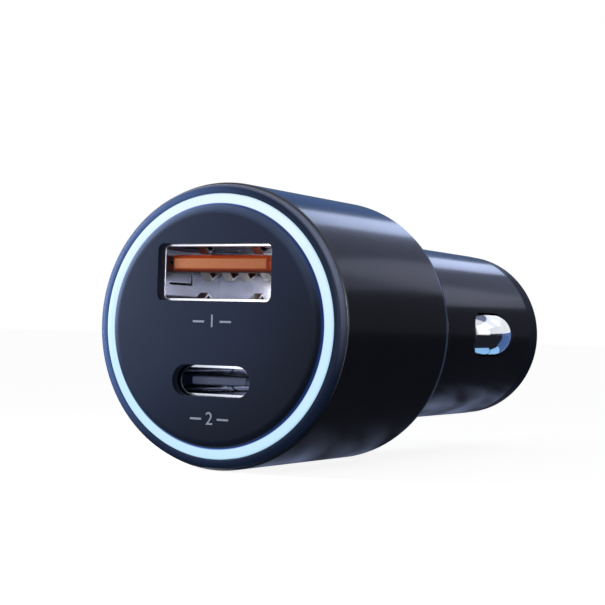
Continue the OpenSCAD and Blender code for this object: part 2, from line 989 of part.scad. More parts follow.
// Coil spring, with its wire's rings set along a helix whose end turns are closed
ring_sides = 8;
rings_per_turn = 16;
spring_low = spring_y0 + wire_d / 2 + fit;
spring_high = spring_y1 - wire_d / 2 - fit;
closed_pitch = wire_d + play / 2;
open_pitch = (spring_high - spring_low - 2 * closed_pitch) / (spring_turns - 2);

// Distance along the plug of the wire's centre after a number of turns
function coil_y_at(turn) =
    spring_low
    + closed_pitch * min(turn, 1)
    + open_pitch * max(0, min(turn, spring_turns - 1) - 1)
    + closed_pitch * max(0, turn - spring_turns + 1);

function coil_point(i, j) =
    let (
        turn = i / rings_per_turn,
        angle = 360 * turn,
        around = 360 * j / ring_sides,
        r = spring_r + wire_d / 2 * cos(around)
    )
    [r * cos(angle), coil_y_at(turn) + wire_d / 2 * sin(around), r * sin(angle)];

module contact_spring() {
    rings = rings_per_turn * spring_turns;
    points = [for (i = [0 : rings], j = [0 : ring_sides - 1]) coil_point(i, j)];
    sides = [
        for (i = [0 : rings - 1], j = [0 : ring_sides - 1])
            let (
                a = i * ring_sides + j,
                b = i * ring_sides + (j + 1) % ring_sides
            )
            [a, b, b + ring_sides, a + ring_sides]
    ];
    first = [for (j = [ring_sides - 1 : -1 : 0]) j];
    last = [for (j = [0 : ring_sides - 1]) rings * ring_sides + j];
    color("#b9bec6")
        polyhedron(points, concat([first], sides, [last]));
}

// Terminal: a disc under the spring with a tab soldered to the board
module spring_terminal() {
    hole_r = 0.6;
    color("#c8a24a") {
        difference() {
            turned()
                band(0, terminal_r, terminal_y, terminal_y + terminal_t);
            turned()
                band(0, hole_r, terminal_y - 1, terminal_y + terminal_t + 1);
        }
        translate([board_x + fit, terminal_y - tab_len, -tab_w / 2])
            cube([tab_t, tab_len + play, tab_w]);
    }
}

head_sleeve();
bezel_ring();
light_guide();
face_panel();
light_board();
ring_leds();
usb_a_shell();
usb_a_insulator();
usb_a_contacts();
usb_c_shell();
usb_c_insulator();
usb_c_contacts();
port_board();
light_pins();
power_board();
power_inductors();
input_capacitor();
output_capacitors();
controller_chips();
ceramic_capacitors();
ground_straps();
plug_barrel();
contact_carrier();
ground_contact_right();
ground_contact_left();
nose_insulator();
centre_contact();
contact_spring();
spring_terminal();
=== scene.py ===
# %% [markdown]
# A small two port charger for a car's 12 V socket, seen from its lit face.
# The modelled part comes in first, as a fixed frame of bodies and nodes in metres. Every piece that
# is made below sits in that same frame, so nothing has to be fitted by eye.

# %% Load the modelled part
import math

import bmesh
import bpy
from mathutils import Matrix, Vector


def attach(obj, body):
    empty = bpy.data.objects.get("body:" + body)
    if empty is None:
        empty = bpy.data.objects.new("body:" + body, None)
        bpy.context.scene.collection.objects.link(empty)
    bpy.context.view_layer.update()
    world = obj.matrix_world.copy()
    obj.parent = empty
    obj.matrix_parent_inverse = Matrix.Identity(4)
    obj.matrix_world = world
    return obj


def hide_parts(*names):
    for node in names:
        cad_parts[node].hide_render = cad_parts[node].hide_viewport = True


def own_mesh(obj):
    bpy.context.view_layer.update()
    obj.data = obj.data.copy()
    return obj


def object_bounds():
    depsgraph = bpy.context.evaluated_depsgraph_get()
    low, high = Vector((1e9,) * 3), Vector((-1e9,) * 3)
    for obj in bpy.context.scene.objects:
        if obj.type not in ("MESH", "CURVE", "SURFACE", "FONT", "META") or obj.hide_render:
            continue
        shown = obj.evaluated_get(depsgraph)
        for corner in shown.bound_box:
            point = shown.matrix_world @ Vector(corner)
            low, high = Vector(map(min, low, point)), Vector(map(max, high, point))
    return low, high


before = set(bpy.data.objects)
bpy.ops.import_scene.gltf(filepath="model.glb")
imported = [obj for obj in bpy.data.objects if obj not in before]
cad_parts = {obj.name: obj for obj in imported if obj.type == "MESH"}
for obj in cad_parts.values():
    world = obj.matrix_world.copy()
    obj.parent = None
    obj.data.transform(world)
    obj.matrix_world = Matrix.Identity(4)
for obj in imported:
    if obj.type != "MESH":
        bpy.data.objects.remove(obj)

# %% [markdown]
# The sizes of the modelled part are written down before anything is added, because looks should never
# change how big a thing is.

MM = 0.001
box_of_solids = [list(corner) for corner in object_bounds()]
print("solids in mm:", [[round(v / MM, 2) for v in corner] for corner in box_of_solids])

# %% [markdown]
# The camera stands where the photographer stood: a little to the right of the face, level with the
# axis. A camera could be aimed at a point and nudged until it looks right. Here its place, its three
# directions and its lens were fitted to outlines in the photograph, so they stand as they came out.

# %% Camera
RIGHT = Vector((0.87425, 0.48465, 0.02820))
UP = Vector((-0.01472, -0.03159, 0.99939))
BACK = Vector((0.48525, -0.87413, -0.02049))
EYE = Vector((0.08151, -0.15443, -0.00059))

camera = bpy.data.objects.new("camera", bpy.data.cameras.new("camera"))
camera.data.lens = 92.8
camera.data.sensor_width = 36
camera.data.clip_start = 0.01
camera.data.clip_end = 20
turn = Matrix((RIGHT, UP, BACK)).transposed().to_4x4()
camera.matrix_world = Matrix.Translation(EYE) @ turn
bpy.context.scene.collection.objects.link(camera)
bpy.context.scene.camera = camera
print("camera to shoulder in mm:", round(EYE.length / MM, 1))

# %% [markdown]
# Materials are graphs of nodes, and a graph is hard to read as a list of links. Two small classes make
# it read like sums. A Signal is whatever comes out of a socket: adding a number or another Signal to
# it makes the Math node that does the sum. A Finish is one material, and one method of it makes any
# other node.

# %% Signals and finishes
class Signal:
    """What comes out of a socket, with the sums that Math nodes can do on it."""

    def __init__(self, finish, socket):
        self.finish = finish
        self.socket = socket

    def _math(self, operation, first, second=0.0):
        return self.finish.node(
            "ShaderNodeMath", {"operation": operation}, {0: first, 1: second}
        )

    def __add__(self, other):
        return self._math("ADD", self, other)

    def __sub__(self, other):
        return self._math("SUBTRACT", self, other)

    def __mul__(self, other):
        return self._math("MULTIPLY", self, other)

    def __truediv__(self, other):
        return self._math("DIVIDE", self, other)

    def __gt__(self, other):
        return self._math("GREATER_THAN", self, other)

    def root(self):
        return self._math("SQRT", self)


class Finish:
    """One material. Constants sit on the shader's sockets, and what varies is linked to them."""

    def __init__(self, name, **constants):
        self.material = bpy.data.materials.new(name)
        self.material.use_nodes = True
        self.tree = self.material.node_tree
        self.shader = self.tree.nodes["Principled BSDF"]
        for socket, value in constants.items():
            self.set(socket.replace("_", " "), value)

    def set(self, socket, value):
        """Gives a socket of the shader a constant, or a Signal."""
        target = self.shader.inputs[socket]
        if isinstance(value, Signal):
            self.tree.links.new(value.socket, target)
        elif isinstance(value, str):
            target.default_value = colour(value)
        else:
            target.default_value = value

    def node(self, kind, settings=None, inputs=None, output=0):
        """Makes a node: its settings first, then what goes into its sockets."""
        made = self.tree.nodes.new(kind)
        for key, value in (settings or {}).items():
            if key == "stops":
                set_stops(made.color_ramp, value)
            else:
                setattr(made, key, value)
        for key, value in (inputs or {}).items():
            if isinstance(value, Signal):
                self.tree.links.new(value.socket, made.inputs[key])
            else:
                made.inputs[key].default_value = value
        return Signal(self, made.outputs[output])


def colour(code):
    """A colour written as a web code, turned into the linear numbers that nodes use."""
    parts = [int(code[i : i + 2], 16) / 255 for i in (1, 3, 5)]
    return [p / 12.92 if p <= 0.04045 else ((p + 0.055) / 1.055) ** 2.4 for p in parts] + [1]


def set_stops(scale, stops):
    """Gives a colour ramp its stops, each a place and a web code."""
    while len(scale.elements) < len(stops):
        scale.elements.new(0.5)
    for element, (place, code) in zip(scale.elements, stops):
        element.position = place
        element.color = colour(code)


print("navy in linear numbers:", [round(v, 4) for v in colour("#20263a")])

# %% [markdown]
# Few real surfaces are even. Some small patterns return in most finishes, so each is a function: the
# distance from the plug's axis, a soft cloud for uneven gloss, a smooth ramp from one value to another,
# and a grain that lifts the surface by a few thousandths of a millimetre. A painted image could do all
# of this too, but sums on Object coordinates need no unwrapping and stay sharp at any distance.

# %% Patterns that return
def places(finish):
    """Object coordinates, as metres along X, Y and Z."""
    return finish.node("ShaderNodeTexCoord", output=3)


def along(finish, axis):
    """The distance along one axis, in millimetres."""
    split = finish.node(
        "ShaderNodeSeparateXYZ", inputs={0: places(finish)}, output="XYZ".index(axis)
    )
    return split * (1 / MM)


def from_axis(finish):
    """The distance from the plug's axis, in millimetres."""
    x, z = along(finish, "X"), along(finish, "Z")
    return (x * x + z * z).root()


def cloud(finish, per_mm, detail=3.0, stretch=(1, 1, 1)):
    """Noise of so many blobs in a millimetre, about 0 to 1, stretched along the axes."""
    where = finish.node(
        "ShaderNodeMapping", {"vector_type": "POINT"}, {0: places(finish), 3: stretch}
    )
    return finish.node(
        "ShaderNodeTexNoise", {}, {0: where, "Scale": per_mm / MM, "Detail": detail}
    )


def blend(finish, amount, low, high):
    """Mixes two colours, each a web code or a Signal."""
    ends = [colour(c) if isinstance(c, str) else c for c in (low, high)]
    return finish.node(
        "ShaderNodeMix", {"data_type": "RGBA"}, {0: amount, 6: ends[0], 7: ends[1]}, output=2
    )


def ramp(finish, value, low, high, start=0.0, end=1.0):
    """Goes smoothly from start to end while a value goes from low to high."""
    return finish.node(
        "ShaderNodeMapRange",
        {"interpolation_type": "SMOOTHSTEP"},
        {0: value, 1: low, 2: high, 3: start, 4: end},
    )


def lift(finish, height, micrometres):
    """Turns a height of 0 to 1 into a bump of so many micrometres."""
    normal = finish.node(
        "ShaderNodeBump", {}, {"Strength": 1.0, "Distance": micrometres * 1e-6, "Height": height}
    )
    finish.set("Normal", normal)


print("patterns ready")

# %% [markdown]
# The head and the barrel are turned aluminium, blasted very fine and anodised a blue that is nearly
# black. Anodising keeps the metal's glow, so it is partly metallic with a dark colour, under a thin
# clear coat. The fine grain gives the satin, and a slow cloud keeps a long highlight from being ruled.
# The round at the rear edge of the head catches a thin pale line of light. A lamp behind the head could
# draw it, but would light the plug too, so a narrow painted highlight, a band of paler colour, does it.

# %% Anodised aluminium
# The painted highlight in mm: where it comes in and goes out along the plug, and the radius where it
# starts.
HIGHLIGHT_IN, HIGHLIGHT_OUT, HIGHLIGHT_RADIUS = (-1.4, -1.2), (-0.8, -0.6), (12.8, 13.2)


def anodised(name, dark, light, rough):
    """Satin anodised metal, with a painted highlight on the rear round of the head."""
    finish = Finish(name, Metallic=0.35, Coat_Weight=0.4, Coat_Roughness=0.1)
    slow = cloud(finish, 0.12, 2.0)
    fine = cloud(finish, 9.0, 2.0)
    surface_colour = blend(finish, slow, dark, light)
    depth = along(finish, "Y")
    painted_highlight = ramp(finish, depth, *HIGHLIGHT_IN) * ramp(finish, depth, *HIGHLIGHT_OUT, 1.0, 0.0)
    painted_highlight = painted_highlight * ramp(finish, from_axis(finish), *HIGHLIGHT_RADIUS)
    # Painted highlight: a pale blue band in the colour on the rear round of the head.
    finish.set("Base Color", blend(finish, painted_highlight, surface_colour, "#7c98c8"))
    finish.set("Roughness", slow * 0.06 + fine * 0.05 + rough)
    lift(finish, fine, 0.5)
    return finish.material


body_metal = anodised("anodised_body", "#1e212b", "#272b36", 0.13)
print("anodised:", body_metal.name)

# %% [markdown]
# The bezel and the nose are moulded and dyed to go with the metal: the bezel with a gloss, the nose
# duller. The face panel is a matt moulding, whose fine spark texture scatters the light.
# Rounded rims shade softly towards one side. Lamps could do all of that, but each would disturb the
# others, so some of it is painted light and shade in the colour: painted highlights on rounded edges,
# paler painted light on one side and painted shade on the other.

# %% Dyed plastics
def moulded(name, dark, light, rough, grain_per_mm=6.0, grain_um=1.5, painted_light_and_shade=(), **more):
    """A dyed moulding with painted light and shade.

    Each patch of painted light or shade is the two radii in mm between which it comes in, the direction
    on the face (right, up) that it lies towards, where it starts and ends from -1 (far side) to 1 (that
    side), and its colour.
    """
    finish = Finish(name, **more)
    slow = cloud(finish, 0.15, 2.0)
    fine = cloud(finish, grain_per_mm, 3.0)
    surface_colour = blend(finish, slow * 0.6 + fine * 0.4, dark, light)
    # Each entry paints light or shade into the colour: a painted highlight, painted light or painted
    # shade.
    for near, far, (right, up), start, end, tint in painted_light_and_shade:
        radius = from_axis(finish)
        side = (along(finish, "X") * right + along(finish, "Z") * up) / radius
        share = ramp(finish, radius, near, far) * ramp(finish, side, start, end)
        surface_colour = blend(finish, share, surface_colour, tint)
    finish.set("Base Color", surface_colour)
    finish.set("Roughness", fine * 0.08 + rough)
    lift(finish, fine, grain_um)
    return finish.material


# Painted light on the bezel: paler painted light on the left, and a painted highlight on its rounded
# edge at the top.
BEZEL_PAINTED_LIGHT = [
    (0, 1, (-0.9, 0.42), 0.0, 0.9, "#4a608e"),  # paler on the left
    (13.62, 13.92, (0.1, 0.99), -0.3, 0.6, "#7c849c"),  # the rounded edge, at the top
]
# Painted light and shade on the face: painted shade towards the lower right, a painted highlight on the
# rounded edge at the top, and painted light from the ring all round the panel's edge.
FACE_PAINTED_LIGHT_AND_SHADE = [
    (2, 13, (0.6, -0.8), -0.2, 0.9, "#161c2b"),  # darker at the lower right
    (10.9, 11.9, (-0.25, 0.97), -0.2, 0.5, "#64759a"),  # the rounded edge, at the top
    (11.8, 12.0, (0, 0), -1, -0.5, "#2c4a90"),  # all round, lit by the ring beside it
]
bezel_gloss = moulded(
    "bezel", "#18233a", "#1e2b46", 0.3, 6.0, 0.4, BEZEL_PAINTED_LIGHT, Specular_IOR_Level=0.12
)
face_matt = moulded(
    "face", "#222a3f", "#283148", 0.4, 7.0, 3.0, FACE_PAINTED_LIGHT_AND_SHADE, Specular_IOR_Level=0.1
)
nose_satin = moulded("nose_plastic", "#1f2538", "#282f44", 0.36, 5.0, 1.5, Specular_IOR_Level=0.12)
black_moulding = moulded("black_plastic", "#101114", "#17181b", 0.42)
print("plastics:", face_matt.name, bezel_gloss.name, nose_satin.name)

# %% [markdown]
# A tongue stands in each port on a base of the same moulding. The sides of the orange one are darker
# than its front face and darkest towards the bottom, which is painted shade, and both bases are made
# pale and mirror-like where the bright walls meet them, which is painted light. Each could be made of
# three pieces of three materials, but it is one moulding, so one finish changes along the plug.

# %% Tongues
# Where a colour changes, in mm along the plug, or in height for the painted shade on the larger tongue.
DARK_BASE = (-15.5, -15.38)
ORANGE_FRONT, ORANGE_BASE, ORANGE_TOP = (-24.66, -24.58), (-15.0, -14.6), (5.35, 5.7)


def tongue_dark():
    """Slate blue, and a pale mirror on the base far inside, which is painted light."""
    finish = Finish("dark_tongue")
    base = ramp(finish, along(finish, "Y"), *DARK_BASE)
    slate = blend(finish, cloud(finish, 4.0, 2.0), "#3c4764", "#4c587a")
    # Painted light: the base far inside turns to a pale mirror.
    finish.set("Base Color", blend(finish, base, slate, "#e0e4f2"))
    finish.set("Metallic", base)
    finish.set("Roughness", base * -0.28 + 0.4)
    return finish.material


def tongue_orange():
    """Orange on the tongue's front face, deeper behind it and darker towards the bottom as painted
    shade, and pale on the base as painted light.
    """
    finish = Finish("orange_tongue", Roughness=0.36)
    depth = along(finish, "Y")
    fine = cloud(finish, 4.0, 2.0)
    behind = ramp(finish, depth, *ORANGE_FRONT)
    base = ramp(finish, depth, *ORANGE_BASE)
    top = ramp(finish, along(finish, "Z"), *ORANGE_TOP)
    front_orange = blend(finish, fine, "#b4602f", "#c0703f")
    # Painted shade: deeper behind the front face, and darker towards the bottom.
    shaded_sides = blend(finish, top, "#5c2412", "#b8420f")
    # Painted light: the base turns to a pale mirror.
    finish.set("Base Color", blend(finish, base, blend(finish, behind, front_orange, shaded_sides), "#e2e0ee"))
    finish.set("Metallic", base * 0.85)
    return finish.material


orange_moulding = tongue_orange()
dark_moulding = tongue_dark()
print("tongues:", orange_moulding.name, dark_moulding.name)

# %% [markdown]
# The light guide is milky acrylic with lamps behind it. It glows a pale icy blue, a little whiter at
# the top, and at its inner edge, against the panel, the light is trapped and shows as a thin deep blue
# line. Lamps behind a clear ring would be truer but slow and noisy, so the ring itself emits, and its
# colour is worked out from the distance to the axis and the height.

# %% Lit ring
def lit_ring(inner_r, outer_r):
    """Milky acrylic that glows, between two radii in mm."""
    finish = Finish("light_ring", Roughness=0.3, Emission_Strength=1.0, Specular_IOR_Level=0.2)
    finish.set("Base Color", "#1c2c3c")
    radius = from_axis(finish)
    height = along(finish, "Z") * (0.5 / outer_r) + 0.5
    lamps = cloud(finish, 0.2, 1.0)
    glow = finish.node(
        "ShaderNodeValToRGB",
        {"stops": [(0.0, "#c2e6fb"), (0.45, "#cdeeff"), (1.0, "#ecfafe")]},
        {0: height * 0.8 + lamps * 0.2},
    )
    inside = ramp(finish, radius, inner_r - 0.02, inner_r + 0.12)
    outside = ramp(finish, radius, outer_r - 0.2, outer_r + 0.02, 0.0, 0.35)
    glow = blend(finish, inside, "#1c40a0", glow)
    finish.set("Emission Color", blend(finish, outside, glow, "#7fb4e0"))
    return finish.material


ring_glow = lit_ring(12.03, 13.03)
print("lit:", ring_glow.name)

# %% [markdown]
# The sheet metal of the ports is stamped and nickel plated. The larger shell is bright, with painted
# shade that darkens it towards the left, and the smaller one is smoked. Rolling leaves faint lines along
# the sheet, so the cloud that drives the gloss is drawn out along the plug. The contacts in the larger
# port only half mirror, or they would repeat the orange round them. The side and centre contacts are
# polished before plating and reflect like a mirror.

# %% Plated metals
def plated(name, dark, light, rough, stretch=(1, 0.12, 1), grain_um=0.3, metallic=1.0, across=0):
    """Rolled and plated sheet. across is half the width in mm over which painted shade takes it from
    dark on the left to light.
    """
    finish = Finish(name, Metallic=metallic)
    rolled = cloud(finish, 6.0, 2.0, stretch)
    slow = cloud(finish, 0.5, 2.0)
    if across:
        # Painted shade: darker towards the left, lighter towards the right.
        slow = ramp(finish, along(finish, "X"), -across, across) * 0.8 + slow * 0.2
    finish.set("Base Color", blend(finish, slow, dark, light))
    finish.set("Roughness", rolled * 0.08 + rough)
    lift(finish, rolled, grain_um)
    return finish.material


bright_sheet = plated(
    "bright_steel", "#b8bccf", "#fcfcff", 0.16, grain_um=0.03, metallic=0.92, across=7
)
smoked_sheet = plated("dark_steel", "#b0b6c6", "#d0d4e0", 0.08, grain_um=0.03)
contact_plate = plated("plated_contacts", "#c9ccd4", "#e2e4ea", 0.03, (1, 1, 1), 0.1)
gilt = plated("gilt_contacts", "#b38f45", "#d9b968", 0.18)
pale_gilt = plated(
    "gilt_contacts_pale", "#d8d6d6", "#f4f2f0", 0.12, grain_um=0.05, metallic=0.5
)
dull_gilt = plated("gilt_contacts_dull", "#5a6070", "#70727a", 0.3, grain_um=0.05)
brass = plated("brass_strip", "#a98a48", "#cdb06a", 0.22)
wire_steel = plated("spring_steel", "#8f939c", "#b3b7bf", 0.24, (1, 1, 1))
can_metal = plated("capacitor_can", "#a9adb6", "#c9ccd3", 0.2, (1, 1, 1))
print("metals:", bright_sheet.name, contact_plate.name)

# %% [markdown]
# Inside, each board is green solder mask over a weave of glass, which shows as a faint square grain.
# A wave pattern along two axes, multiplied, gives that weave. A checker could too, but its squares
# have hard edges, and woven threads have none.

# %% Boards and their parts
def solder_mask():
    """Green lacquer over woven glass."""
    finish = Finish("circuit_board", Roughness=0.3, Coat_Weight=0.4)
    weave = [
        finish.node(
            "ShaderNodeTexWave",
            {"bands_direction": axis},
            {0: places(finish), "Scale": 0.7 / MM, "Distortion": 0.4},
            output=1,
        )
        for axis in ("Y", "Z")
    ]
    cloth = weave[0] * weave[1]
    finish.set("Base Color", blend(finish, cloth, "#0b3a26", "#145238"))
    lift(finish, cloth, 4.0)
    return finish.material


board_green = solder_mask()
chip_epoxy = moulded("chip_black", "#141416", "#1d1d20", 0.5, 8.0, 2.0)
ferrite_grey = moulded("ferrite", "#26282c", "#34373c", 0.6, 8.0, 3.0)
ceramic_tan = moulded("ceramic", "#a58058", "#bd966a", 0.5, 8.0, 1.0)
lamp_clear = moulded("lamps", "#e6e6c8", "#f6f6de", 0.2, 8.0, 0.5, Coat_Weight=0.5)
print("board:", board_green.name)

# %% [markdown]
# A piece is built as a loose mesh and then finished in the same few steps, so these come first. Faces
# are turned outwards, the material goes on, and shading is smooth except across real edges. Then the
# piece is tied to its body, so that it moves with it, and takes the place of the solid that it refines.

# %% Finishing a piece
SHARP_ANGLE = math.radians(38)
SAME_PLACE = 1e-7


def placed(name, source):
    """An object in the scene made of a bmesh, which is used up."""
    mesh = bpy.data.meshes.new(name)
    source.to_mesh(mesh)
    source.free()
    thing = bpy.data.objects.new(name, mesh)
    bpy.context.scene.collection.objects.link(thing)
    return thing


def dress(piece, material, body, stands_for=()):
    """Gives a finished piece its material, its smooth shading and its place in the frame."""
    piece.data.materials.clear()
    piece.data.materials.append(material)
    piece.data.polygons.foreach_set("use_smooth", [True] * len(piece.data.polygons))
    piece.data.set_sharp_from_angle(angle=SHARP_ANGLE)
    even = piece.modifiers.new("even_normals", "WEIGHTED_NORMAL")
    even.keep_sharp = True
    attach(piece, body)
    if stands_for:
        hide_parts(*stands_for)
    print(piece.name, len(piece.data.polygons), "faces")
    return piece


def link(name, source, material, body, stands_for=()):
    """Makes a dressed piece of a bmesh, with its faces outwards."""
    bmesh.ops.recalc_face_normals(source, faces=source.faces)
    return dress(placed(name, source), material, body, stands_for)


print("edges sharper than", round(math.degrees(SHARP_ANGLE)), "degrees stay sharp")

# %% [markdown]
# Most pieces of the plug are turned, so one helper does what a lathe does. It takes the outline of the
# wall, as corners of radius and distance along the plug, rounds the corners that it is told to while
# the outline is still flat, and spins it once round the axis. Rounding the flat outline first is cheap
# and exact: the same bevel after the spin would have to work on hundreds of edges.

# %% The lathe
STEPS = 240


def bevel(made, geom, width, affect, segments):
    """Rounds corners or edges of a bmesh by a width in mm."""
    bmesh.ops.bevel(
        made,
        geom=geom,
        offset=width * MM,
        offset_type="OFFSET",
        affect=affect,
        segments=segments,
        profile=0.5,
        clamp_overlap=(affect == "EDGES"),
        material=-1,
    )


def turned(outline, rounds, steps=STEPS):
    """Spins an outline in mm about the plug's axis. rounds gives {corner: (radius, segments)}."""
    lathe = bmesh.new()
    corners = [lathe.verts.new((r * MM, y * MM, 0)) for r, y in outline]
    lathe.faces.new(corners)
    for corner, (radius, segments) in rounds.items():
        bevel(lathe, [corners[corner]], radius, "VERTICES", segments)
    bmesh.ops.delete(lathe, geom=list(lathe.faces), context="FACES_ONLY")
    on_axis = [e for e in lathe.edges if all(v.co.x < SAME_PLACE for v in e.verts)]
    bmesh.ops.delete(lathe, geom=on_axis, context="EDGES")
    bmesh.ops.spin(
        lathe,
        geom=lathe.verts[:] + lathe.edges[:],
        cent=(0, 0, 0),
        axis=(0, 1, 0),
        angle=2 * math.pi,
        steps=steps,
        use_merge=True,
    )
    bmesh.ops.remove_doubles(lathe, verts=lathe.verts, dist=SAME_PLACE)
    poles = [v for v in lathe.verts if Vector((v.co.x, v.co.z)).length < SAME_PLACE]
    bmesh.ops.dissolve_verts(lathe, verts=poles)
    bmesh.ops.recalc_face_normals(lathe, faces=lathe.faces)
    return lathe


print("lathe ready,", STEPS, "steps to a turn")

# %% [markdown]
# The head sleeve is a cup turned from bar: a thin wall, a closed rear with a hole for the plug, and a
# generous radius where the two meet. The front edge only loses its burr. A scaled cylinder would have
# neither wall nor radius, so the real outline is spun.

# %% Head sleeve
HEAD_R = 14.2
sleeve = turned(
    [(13.3, -24.05), (HEAD_R, -24.05), (HEAD_R, 0), (10.13, 0), (10.13, -1.4), (13.3, -1.4)],
    {0: (0.12, 2), 1: (0.15, 4), 2: (1.1, 10)},
)
link("head_sleeve_turned", sleeve, body_metal, "charger", ["head_sleeve"])

# %% [markdown]
# The bezel is a moulded ring that plugs into the sleeve. Only its narrow rim shows, and its outer edge
# is rounded enough to catch a thin line of light all the way round. Its hidden skirt is there too, since
# the ring has to hold on by something.

# %% Bezel ring
bezel = turned(
    [
        (13.06, -25), (14.0, -25), (14.0, -24.05), (13.27, -24.05),
        (13.27, -20.23), (12.63, -20.23), (12.63, -23.95), (13.06, -23.95),
    ],
    {0: (0.12, 3), 1: (0.6, 8), 4: (0.2, 1)},
)
link("bezel_ring_moulded", bezel, bezel_gloss, "charger", ["bezel_ring"])

# %% [markdown]
# The light guide fills the gap between the bezel and the face panel. Its face is flat and flush with
# the bezel, and its tail runs back to the lamps. A small step behind the face seats it in the bezel.

# %% Light guide
guide = turned(
    [(12.03, -25), (13.03, -25), (13.03, -23.98), (12.6, -23.98), (12.6, -20.85), (12.03, -20.85)],
    {0: (0.05, 2), 1: (0.15, 3)},
)
link("light_guide_ring", guide, ring_glow, "charger", ["light_guide"])

# %% [markdown]
# A hole with rounded corners is cut by a prism: four corners make a face, its corners are rounded while
# it is flat, and the face is pushed through. The same prism serves the ports and the side slots, so it
# can face along the plug or across it. The cut is a Boolean, applied at once instead of kept as a
# modifier, because the edges that it leaves are bevelled afterwards.

# %% Prisms and cuts
def rectangle(centre, width, height):
    """The corners of a rectangle about its centre, in mm."""
    signs = [(-1, -1), (1, -1), (1, 1), (-1, 1)]
    return [(centre[0] + a * width / 2, centre[1] + b * height / 2) for a, b in signs]


def pushed(made, way):
    """Makes a sheet of faces solid by pushing a copy of it the given way in mm."""
    grown = bmesh.ops.extrude_face_region(made, geom=list(made.faces))
    moved = [g for g in grown["geom"] if isinstance(g, bmesh.types.BMVert)]
    bmesh.ops.translate(made, verts=moved, vec=way * MM)
    bmesh.ops.recalc_face_normals(made, faces=made.faces)
    return made


def prism(outline, radius, reach, across=False, segments=8, rounded=4):
    """An outline in mm, its first corners rounded, pushed along Y or, if it goes across, X."""
    made = bmesh.new()
    corners = []
    for u, z in outline:
        spot = (reach[0], u, z) if across else (u, reach[0], z)
        corners.append(made.verts.new(Vector(spot) * MM))
    made.faces.new(corners)
    bevel(made, corners[:rounded], radius, "VERTICES", segments)
    return pushed(made, Vector((1, 0, 0) if across else (0, 1, 0)) * (reach[1] - reach[0]))


def cut(source, tools, operation="DIFFERENCE"):
    """Cuts a bmesh with others, and gives the result back as a bmesh."""
    blank = placed("blank", source)
    helpers = [blank] + [placed("tool", tool) for tool in tools]
    for helper in helpers[1:]:
        knife = blank.modifiers.new("cut", "BOOLEAN")
        knife.operation = operation
        knife.solver = "EXACT"
        knife.object = helper
    bpy.context.view_layer.update()
    ready = blank.evaluated_get(bpy.context.evaluated_depsgraph_get())
    result = bmesh.new()
    result.from_mesh(ready.to_mesh())
    ready.to_mesh_clear()
    for helper in helpers:
        mesh = helper.data
        bpy.data.objects.remove(helper)
        bpy.data.meshes.remove(mesh)
    bmesh.ops.remove_doubles(result, verts=result.verts, dist=2 * SAME_PLACE)
    return result


def sharp_edges(made, angle, wanted):
    """The edges bent by more than an angle in radians whose two ends are both wanted."""
    return [
        e
        for e in made.edges
        if len(e.link_faces) == 2
        and e.calc_face_angle(0) > angle
        and all(wanted(v.co / MM) for v in e.verts)
    ]


print("cutting tools ready")

# %% [markdown]
# The face panel is a shallow cap that stands a little in front of the ring, with a big round on its
# edge. Both ports are cut through it, and the front edges of the cuts are just broken, as on a mould.
# A bevel modifier would round every edge alike, so the edges are picked by where they lie.

# %% Face panel
PANEL_FRONT = -25.7
PORT_A_Z, PORT_C_Z = 5.25, -5.4

panel = turned(
    [(0, PANEL_FRONT), (12, PANEL_FRONT), (12, -20.23), (11.1, -20.23), (11.1, -24.8), (0, -24.8)],
    {1: (0.85, 10), 3: (0.2, 1)},
)
panel = cut(
    panel,
    [
        prism(rectangle((0, PORT_A_Z), 13.02, 5.64), 0.63, (-27, -24)),
        prism(rectangle((0, PORT_C_Z), 8.86, 3.08), 1.53, (-27, -24), segments=14),
    ],
)
# The edges on the front of the panel, and inside the round of its own edge.
port_rims = sharp_edges(
    panel,
    0.5,
    lambda at: abs(at.y - PANEL_FRONT) < 0.001 and math.hypot(at.x, at.z) < 10.6,
)
bevel(panel, port_rims, 0.08, "EDGES", 2)
link("face_panel_moulded", panel, face_matt, "charger", ["face_panel"])

# %% [markdown]
# The barrel of the plug is turned and then milled through on both sides for the sprung contacts. It is
# a true cylinder as far as the slots, where it bears in the socket, and slims down a little after them.
# One outline serves the contact's pad and, with a margin, the slot round it, so the gap is even.

# %% Plug barrel
SIDE_Y = 21.8
PAD_BLUNT_END, PAD_TAPER_FROM, PAD_TAPER, PAD_HALF, PAD_FLANK_R = -5.7, 0.5, 5.2, 2.35, 7.847
FLANK_POINTS = 13


def pad_shape(margin):
    """The outline of a side contact's pad, blunt towards the head and tapered towards the nose."""
    flank = []
    for i in range(FLANK_POINTS):
        u = (PAD_TAPER + margin) * i / (FLANK_POINTS - 1)
        half = math.sqrt((PAD_FLANK_R + margin) ** 2 - u * u) - PAD_FLANK_R + PAD_HALF
        flank.append((PAD_TAPER_FROM + u, half))
    blunt, half = PAD_BLUNT_END - margin, PAD_HALF + margin
    outline = [(blunt, half), (blunt, -half)]
    outline += [(u, -w) for u, w in flank] + [(u, w) for u, w in reversed(flank)]
    return [(SIDE_Y + u, w) for u, w in outline]


barrel = turned(
    [
        (9.4, -2.63), (11.7, -2.63), (11.7, -1.43), (10.1, -1.43), (10.1, 0), (10.4, 0),
        (10.4, 15.55), (10.325, 34), (9.4, 34),
        (9.4, 32.65), (9.65, 32.65), (9.65, 31.45), (9.4, 31.45),
    ],
    {7: (0.15, 4)},
)
SLOT_GAP = 0.25
barrel = cut(
    barrel,
    [prism(pad_shape(SLOT_GAP), 1.75, (side * 7, side * 13), True, 10, 2) for side in (-1, 1)],
)
